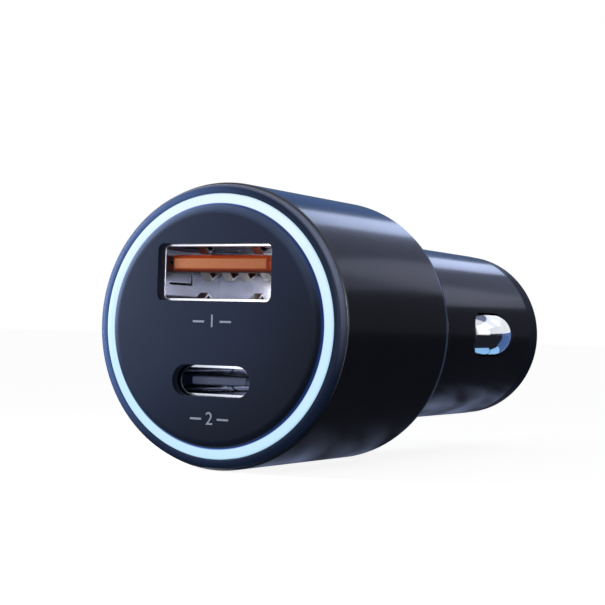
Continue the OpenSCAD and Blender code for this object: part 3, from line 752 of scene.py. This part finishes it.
# The edges round each slot, and on the outer skin of the barrel.
slot_rims = sharp_edges(
    barrel,
    0.6,
    lambda at: abs(at.y - SIDE_Y) < 6.2 and abs(at.z) < 2.9 and math.hypot(at.x, at.z) > 10.2,
)
bevel(barrel, slot_rims, 0.07, "EDGES", 2)
link("plug_barrel_turned", barrel, body_metal, "charger", ["plug_barrel"])

# %% [markdown]
# The nose is the plug's insulating end, a moulded cap that snaps into the barrel. It is spun from the
# same kind of outline as the rest, with the chamber for the spring inside, a ridge that snaps into the
# barrel's groove, and a well rounded rim outside.

# %% Nose
nose = turned(
    [
        (2.7, 37.6), (10.275, 37.6), (10.275, 34.03), (9.37, 34.03), (9.37, 32.55), (9.6, 32.05),
        (9.37, 31.55), (9.37, 30.1), (8.22, 30.1), (8.22, 33.5), (5.65, 33.5), (5.65, 26.12),
        (4.5, 26.12), (4.5, 34.9), (2.7, 34.9),
    ],
    {0: (0.2, 2), 1: (1.2, 10)},
)
link("nose_rim", nose, nose_satin, "charger", ["nose_insulator"])

# %% [markdown]
# The centre contact is a turned pin with a round tip. A sphere could be joined on for the tip, but
# rounding one corner of the outline by nearly the whole radius makes it with no seam.

# %% Centre contact
pin = turned(
    [
        (0, 42.6), (2.45, 42.6), (2.45, 40.15), (2.6, 40.15), (2.6, 34.87), (4.2, 34.87),
        (4.2, 33.47), (2.1, 33.47), (2.1, 31.67), (0, 31.67),
    ],
    {1: (2.44, 20), 3: (0.14, 3), 5: (0.15, 2), 8: (0.2, 2)},
    96,
)
link("centre_contact_pin", pin, contact_plate, "tip_contact", ["centre_contact"])

# %% [markdown]
# Each side contact is a strip of spring sheet with a pad pressed out of it. The pad is curved along the
# plug and more tightly across it, which is a patch of a ring: an arc is spun from one vertex, the arc
# is spun about the pad's own centre, and the patch is pushed down to make it solid. A prism then trims
# it to the pad's outline. A subdivided box would bulge in much the same way, but would miss the two
# radii.

# %% Side contacts
PAD_TOP, PAD_ALONG_R, PAD_ACROSS_R = 11.2, 20.706, 3.2
LEAF_X, LEAF_HALF, LEAF_ROOT, LEAF_TIP = 8.19, 2.25, 1.43, 28.7


def pad_dome():
    """The pad's curved top as a solid, in mm about the axis of the plug, on the right side."""
    made = bmesh.new()
    centre = Vector((PAD_TOP - PAD_ALONG_R, SIDE_Y, 0)) * MM
    arc_centre = Vector((PAD_TOP - PAD_ACROSS_R, SIDE_Y, 0)) * MM
    half, sweep = math.radians(58), math.radians(19)
    start = made.verts.new(
        arc_centre + Vector((math.cos(half), 0, -math.sin(half))) * PAD_ACROSS_R * MM
    )
    bmesh.ops.spin(
        made, geom=[start], cent=arc_centre, axis=(0, -1, 0), angle=2 * half, steps=32
    )
    bmesh.ops.rotate(
        made, verts=made.verts, cent=centre, matrix=Matrix.Rotation(-sweep, 3, "Z")
    )
    bmesh.ops.spin(
        made,
        geom=made.verts[:] + made.edges[:],
        cent=centre,
        axis=(0, 0, 1),
        angle=2 * sweep,
        steps=56,
    )
    bmesh.ops.remove_doubles(made, verts=made.verts, dist=SAME_PLACE)
    return pushed(made, Vector((-6, 0, 0)))


def block(made, low, high):
    """Adds a box to a bmesh, between two corners in mm."""
    size, middle = Vector(high) - Vector(low), (Vector(high) + Vector(low)) / 2
    place = Matrix.Translation(middle * MM) @ Matrix.Diagonal((*(size * MM), 1))
    bmesh.ops.create_cube(made, size=1, matrix=place)


def side_contact(side):
    """Strip, lip and pad of one side contact. side is 1 for the right and -1 for the left."""
    trim = prism(pad_shape(0), 1.5, (LEAF_X, 12), True, 10, 2)
    made = cut(pad_dome(), [trim], "INTERSECT")
    bevel(made, sharp_edges(made, 0.55, lambda at: at.x > 8.9), 0.1, "EDGES", 3)
    sheet_thick, lip_high = 0.35, 0.75
    for start, height in ((LEAF_ROOT, sheet_thick), (LEAF_TIP - sheet_thick, lip_high)):
        block(made, (LEAF_X, start, -LEAF_HALF), (LEAF_X + height, LEAF_TIP, LEAF_HALF))
    if side < 0:
        bmesh.ops.scale(made, vec=(-1, 1, 1), verts=made.verts)
    return made


for side, hand in ((1, "right"), (-1, "left")):
    body, node = "side_contact_" + hand, "ground_contact_" + hand
    link(body + "_pad", side_contact(side), contact_plate, body, [node])

# %% [markdown]
# The shells, tongues and contacts of the ports already have the right shape as solids. What they lack
# is the tiny round that every stamped or moulded edge has, and that is what catches the light. So each
# is copied, its loose triangles are merged back into whole faces, and its edges are bevelled a little.
# Nothing more is cut here, so the bevel can stay a modifier.

# %% Ports
FLAT_ENOUGH, EDGE_ANGLE = math.radians(0.6), math.radians(34)


def refined(node, width, material, segments=2):
    """A copy of a node's mesh with merged faces and softened edges, which stands for the node."""
    made = bmesh.new()
    made.from_mesh(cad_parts[node].data)
    bmesh.ops.remove_doubles(made, verts=made.verts, dist=SAME_PLACE)
    bmesh.ops.dissolve_limit(
        made,
        angle_limit=FLAT_ENOUGH,
        verts=made.verts,
        edges=made.edges,
        delimit={"NORMAL"},
    )
    bmesh.ops.recalc_face_normals(made, faces=made.faces)
    piece = placed(node + "_softened", made)
    round_off = piece.modifiers.new("round_off", "BEVEL")
    round_off.width = width * MM
    round_off.segments = segments
    round_off.limit_method = "ANGLE"
    round_off.angle_limit = EDGE_ANGLE
    round_off.use_clamp_overlap = True
    return dress(piece, material, "charger", [node])


refined("usb_a_shell", 0.05, bright_sheet)
refined("usb_a_insulator", 0.07, orange_moulding)
refined("usb_a_contacts", 0.03, pale_gilt)
refined("usb_c_shell", 0.05, smoked_sheet)
refined("usb_c_insulator", 0.05, dark_moulding)
refined("usb_c_contacts", 0.01, dull_gilt, segments=1)

# %% [markdown]
# The photograph shows bright sheet at the back of the larger port too, above the tongue and below it.
# Two thin plates stand there, each a prism. They nearly fill the shell's width, so nothing shows
# behind them.

# %% Plates at the back of the larger port
PLATE_WIDTH, PLATE_REACH = 12.46, (-14.6, -14.33)
for name, centre_z, height in (("usb_a_plate_low", 4.0, 2.6), ("usb_a_plate_high", 7.41, 0.74)):
    plate = prism(rectangle((0, centre_z), PLATE_WIDTH, height), 0.3, PLATE_REACH, segments=4)
    link(name, plate, bright_sheet, "charger")

# %% [markdown]
# The inner pieces are shut in, so they keep the shape that they have as solids. They still get real
# finishes, because someone may open the part or look in through a slot. Only the material in each
# slot is changed, and the solid itself stays as it came in.

# %% Inner pieces
inner_finishes = {
    "light_board": board_green,
    "port_board": board_green,
    "power_board": board_green,
    "ring_leds": lamp_clear,
    "light_pins": gilt,
    "power_inductors": ferrite_grey,
    "input_capacitor": can_metal,
    "output_capacitors": can_metal,
    "controller_chips": chip_epoxy,
    "ceramic_capacitors": ceramic_tan,
    "ground_straps": brass,
    "spring_terminal": brass,
    "contact_carrier": black_moulding,
}
for node, finish in inner_finishes.items():
    for material_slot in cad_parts[node].material_slots:
        material_slot.material = finish
print("inner pieces dressed:", len(inner_finishes))

# %% [markdown]
# The coil spring is a wire swept round the axis in three runs: a closed turn at each end and open turns
# between them. A screw modifier makes one even run, so the sweep is done by hand. On the real charger
# the spring is the one piece that changes its length: it squashes towards its inner end as the centre
# contact goes in.

# %% Spring
WIRE, COIL_R, OPEN_TURNS, CLOSED_PITCH = 0.7, 3.25, 3, 0.75
SPRING_FROM, SPRING_TO, SEAT_GAP, PIN_TRAVEL = 26.12, 33.47, 0.03, 3.5
WIRE_SIDES, TURN_STEPS = 12, 32


def coil():
    """A coil spring with closed end turns, as one swept wire."""
    made = bmesh.new()
    first = SPRING_FROM + WIRE / 2 + SEAT_GAP
    open_pitch = (SPRING_TO + SPRING_FROM - 2 * first - 2 * CLOSED_PITCH) / OPEN_TURNS
    bmesh.ops.create_circle(
        made,
        radius=WIRE / 2 * MM,
        segments=WIRE_SIDES,
        matrix=Matrix.Translation(Vector((COIL_R, first, 0)) * MM),
    )
    swept = made.verts[:] + made.edges[:]
    for turns, pitch in ((1, CLOSED_PITCH), (OPEN_TURNS, open_pitch), (1, CLOSED_PITCH)):
        run = bmesh.ops.spin(
            made,
            geom=swept,
            cent=(0, 0, 0),
            axis=(0, -1, 0),
            dvec=(0, pitch / TURN_STEPS * MM, 0),
            angle=turns * math.tau,
            steps=turns * TURN_STEPS,
        )
        swept = run["geom_last"]
    bmesh.ops.holes_fill(made, edges=made.edges[:], sides=WIRE_SIDES)
    return made


spring = link(
    "contact_spring_coiled", coil(), wire_steel, "charger", ["contact_spring"]
)
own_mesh(spring)

# %% [markdown]
# Each port is marked on the face with pale ink, pad printed and a few hundredths of a millimetre thick.
# Plain numbers do here: a figure between two short dashes below each port. A picture could be laid on
# the panel, but thin raised ink is sharp from near by and catches light as real ink does. The figure is
# a text object that is made a mesh first and then turned to face the front.

# %% Printed marks
INK_HALF, INK_AHEAD = 0.012, 0.01
FIGURE_HEIGHT, TEXT_SIZE_TO_HEIGHT = 1.3, 1.38
DASH_LENGTH, DASH_WIDTH, DASH_AT = 1.3, 0.2, 1.55
ink = moulded("printed_ink", "#8f98ab", "#a3abbc", 0.5, 5.0, 1.0)


def figure(mark, centre_z):
    """A printed figure with a dash on each side, in mm, just in front of the face."""
    text = bpy.data.curves.new("figure_" + mark, "FONT")
    text.body = mark
    text.align_x = "CENTER"
    text.align_y = "CENTER"
    text.size = FIGURE_HEIGHT * TEXT_SIZE_TO_HEIGHT * MM
    text.extrude = INK_HALF * MM
    text.resolution_u = 6
    shape = bpy.data.objects.new("figure_" + mark, text)
    bpy.context.scene.collection.objects.link(shape)
    bpy.context.view_layer.update()
    flat = shape.evaluated_get(bpy.context.evaluated_depsgraph_get()).to_mesh()
    made = bmesh.new()
    made.from_mesh(flat)
    bpy.data.objects.remove(shape)
    dash = Vector((DASH_LENGTH / 2, DASH_WIDTH / 2, INK_HALF))
    for side in (-1, 1):
        middle = Vector((side * DASH_AT, 0, 0))
        block(made, middle - dash, middle + dash)
    stand = Matrix.Translation(Vector((0, PANEL_FRONT - INK_AHEAD, centre_z)) * MM)
    upright = stand @ Matrix.Rotation(math.pi / 2, 4, "X")
    bmesh.ops.transform(made, matrix=upright, verts=made.verts)
    bmesh.ops.remove_doubles(made, verts=made.verts, dist=SAME_PLACE / 10)
    link("printed_figure_" + mark, made, ink, "charger")


figure("1", 0.41)
figure("2", -9.1)

# %% [markdown]
# The floor is a wide pale sheet just under the lowest line of the head. It looks white because it
# adds a plain glow for the rays that see it, from the camera or off a mirror. Light that would fall on
# the object leaves the glow out, so the object isn't lit from below and the soft shadow still shows.

# %% Floor
SEEN_RAYS = ["Is " + kind + " Ray" for kind in ("Camera", "Glossy", "Transmission")]
FLOOR_GAP = 0.1
FLOOR_Z = box_of_solids[0][2] - FLOOR_GAP * MM

sheet = bmesh.new()
bmesh.ops.create_grid(
    sheet, x_segments=1, y_segments=1, size=6, matrix=Matrix.Translation((0, 0, FLOOR_Z))
)
floor = placed("floor", sheet)

paper = Finish("floor_sheet", Roughness=0.9, Specular_IOR_Level=0.0, Emission_Strength=1.0)
paper.set("Base Color", [0.86, 0.86, 0.87, 1])
rays = [paper.node("ShaderNodeLightPath", output=ray) for ray in SEEN_RAYS]
seen_floor = (rays[0] + rays[1] + rays[2]) > 0.5
paper.set("Emission Color", blend(paper, seen_floor, "#000000", "#f0f0f0"))
floor.data.materials.append(paper.material)
print("floor at", round(FLOOR_Z / MM, 2), "mm")

# %% [markdown]
# The world behind it works in the same way: full white for the rays that see it, and a dim even light
# for everything else. A picture of a studio would light the object too, but its lamps couldn't be
# placed one by one.

# %% World
WORLD_LIGHT, WORLD_SEEN = 0.12, 1.0

world = bpy.data.worlds.new("studio")
bpy.context.scene.world = world
world.use_nodes = True
studio = world.node_tree
studio.nodes.clear()
path = studio.nodes.new("ShaderNodeLightPath")
seen = path.outputs[SEEN_RAYS[0]]
for ray in SEEN_RAYS[1:]:
    either = studio.nodes.new("ShaderNodeMath")
    either.operation = "MAXIMUM"
    studio.links.new(seen, either.inputs[0])
    studio.links.new(path.outputs[ray], either.inputs[1])
    seen = either.outputs[0]
which = studio.nodes.new("ShaderNodeMixShader")
studio.links.new(seen, which.inputs[0])
for socket, strength in ((1, WORLD_LIGHT), (2, WORLD_SEEN)):
    white = studio.nodes.new("ShaderNodeBackground")
    white.inputs[0].default_value = (1, 1, 1, 1)
    white.inputs[1].default_value = strength
    studio.links.new(white.outputs[0], which.inputs[socket])
out = studio.nodes.new("ShaderNodeOutputWorld")
studio.links.new(which.outputs[0], out.inputs[0])
print("world light", WORLD_LIGHT)

# %% [markdown]
# A dark, glossy thing is drawn by what it mirrors. Photographers put dark and pale cards round such a
# thing, and so does this scene. The cards are seen in reflections only, so they can stand close by
# without a shadow. Large lamps could make the same bands, but would brighten the matt pieces too.

# %% Cards
def aim(thing, place, target):
    """Puts a thing at a place in metres, with its -Z towards a target."""
    look = (Vector(target) - Vector(place)).to_track_quat("-Z", "Y")
    thing.matrix_world = Matrix.Translation(place) @ look.to_matrix().to_4x4()


def card(name, place, target, width, height, shade, strength=1.0):
    """A glowing card that only reflections see. shade is a web code, or paints with its finish."""
    made = bmesh.new()
    bmesh.ops.create_grid(made, x_segments=1, y_segments=1, size=0.5)
    bmesh.ops.scale(made, vec=(width, height, 1), verts=made.verts)
    thing = placed(name, made)
    aim(thing, place, target)
    finish = Finish(name + "_shade", Specular_IOR_Level=0.0, Emission_Strength=strength)
    finish.set("Base Color", "#000000")
    finish.set("Emission Color", shade(finish) if callable(shade) else shade)
    thing.data.materials.append(finish.material)
    thing.visible_camera = False
    thing.visible_diffuse = False
    thing.visible_shadow = False
    thing.visible_transmission = False


# A shade that paints gets its ranges in mm on the card itself.
def under_shade(finish):
    """Clouded under the left half of the plug, less so under the head, and dark on the right."""
    share = ramp(finish, along(finish, "X"), 2.0, 12.0, 1.0, 0.0)
    share = share * ramp(finish, along(finish, "Y"), -722, -706, 0.6)
    patches = cloud(finish, 0.16, 1.0) * 2.8 - 0.95
    return blend(finish, share * patches, "#24262e", "#8f9cc0")


def behind_shade(finish):
    """Blue-grey far on the left, where only the outlines of the plug look, and dark elsewhere."""
    left = ramp(finish, along(finish, "X"), -600, -330, 1.0, 0.0)
    return blend(finish, left, "#42444e", "#5c7396")


def high_shade(finish):
    """Grey, and bluer towards the left, where the tops of the head and the plug look."""
    left = ramp(finish, along(finish, "X"), -330, -150, 1.0, 0.0)
    return blend(finish, left, "#7c849c", "#5a76aa")


card("card_behind", (0.0, 1.5, 0.2), (0, 3, 0.2), 2.4, 0.5, behind_shade)
card("card_behind_high", (-0.17, 1.5, 1.05), (-0.17, 3, 1.05), 2.06, 1.2, high_shade)
card("card_under", (0.0, 0.72, -0.0139), (0, 0.72, -1), 2.4, 1.56, under_shade)
card("band_left", (-0.245, 1.45, 0.63), (0, 0, 0), 0.25, 0.36, "#bccaee", 2.6)
card("band_right", (0.39, 1.45, 0.53), (0, 0, 0), 0.26, 0.3, "#ccd0ee", 0.85)
print("cards placed")

# %% [markdown]
# The soft boxes are area lamps that the camera doesn't see. Three light everything. The others are
# flagged, as a photographer shields a lamp with black flags: each lights only the pieces that it
# names, so one rim, port or contact can be drawn without touching the rest. Light linking does this
# with a collection of the pieces that may receive the lamp's light.

# %% Lamps
WHITE, COOL, PALE_BLUE = (1, 1, 1), (0.9, 0.95, 1), (0.9, 0.9, 1)
SKY, DEEP_BLUE = (0.31, 0.63, 1.0), (0.07, 0.15, 0.36)


def soft_box(name, place, target, width, height, power, tint=WHITE, only=()):
    """An area lamp in metres and watts. only names the pieces that it lights, if it is flagged."""
    lamp = bpy.data.lights.new(name, "AREA")
    lamp.shape = "RECTANGLE"
    lamp.size, lamp.size_y = width, height
    lamp.energy = power
    lamp.color = tint
    thing = bpy.data.objects.new(name, lamp)
    bpy.context.scene.collection.objects.link(thing)
    aim(thing, place, target)
    thing.visible_camera = False
    if only:
        lit = bpy.data.collections.new(name + "_lights")
        for piece in only:
            lit.objects.link(bpy.data.objects[piece])
        thing.light_linking.receiver_collection = lit


soft_box("box_left", (-0.04, -0.045, 0.012), (0, -0.025, 0), 0.012, 0.03, 0.018, COOL)
soft_box("box_front", (0.1, -0.2, 0.08), (0, -0.02, 0.003), 0.08, 0.08, 0.02)
soft_box("box_port", (0.035, -0.2, 0.02), (0, -0.02, 0.005), 0.03, 0.03, 0.05)

BEZEL = ["bezel_ring_moulded"]
LARGE_PORT = [
    "usb_a_shell_softened", "usb_a_plate_low", "usb_a_plate_high", "usb_a_contacts_softened",
]
SMALL_PORT = ["usb_c_shell_softened", "usb_c_insulator_softened"]
PAD = ["side_contact_right_pad"]
AWAY, UPWARDS = Vector((0, 1, 0)), Vector((0, 0, 1))

soft_box("bezel_edge", (0.1, -0.07, 0.06), (0, -0.024, 0), 0.05, 0.14, 0.05, PALE_BLUE, BEZEL)
for name, place, facing, width, height, power, tint, only in (
    ("port_glow_large", (-0.093, -0.2, 0.012), AWAY, 0.052, 0.04, 0.014, WHITE, LARGE_PORT),
    ("port_glow_small", (-0.09, -0.2, -0.006), AWAY, 0.036, 0.015, 0.0038, WHITE, SMALL_PORT),
    ("pad_high", (0.082, 0.172, 0.049), -AWAY, 0.248, 0.082, 0.064, WHITE, PAD),
    ("pad_low", (0.0135, 0.0435, -0.0031), -AWAY, 0.01, 0.0098, 3.1e-4, DEEP_BLUE, PAD),
    ("pad_rim", (0.0127, 0.0435, -0.0109), -AWAY, 0.0085, 0.0053, 1.5e-4, SKY, PAD),
    ("pad_under", (0.0165, 0.0346, -0.0137), UPWARDS, 0.009, 0.0174, 5.2e-4, SKY, PAD),
):
    soft_box(name, place, Vector(place) + facing, width, height, power, tint, only)
print("lamps placed:", len(bpy.data.lights))

# %% [markdown]
# Last, the picture is kept plain: Standard view, no curve and no compositor.

# %% Close
bpy.context.scene.view_settings.view_transform = "Standard"
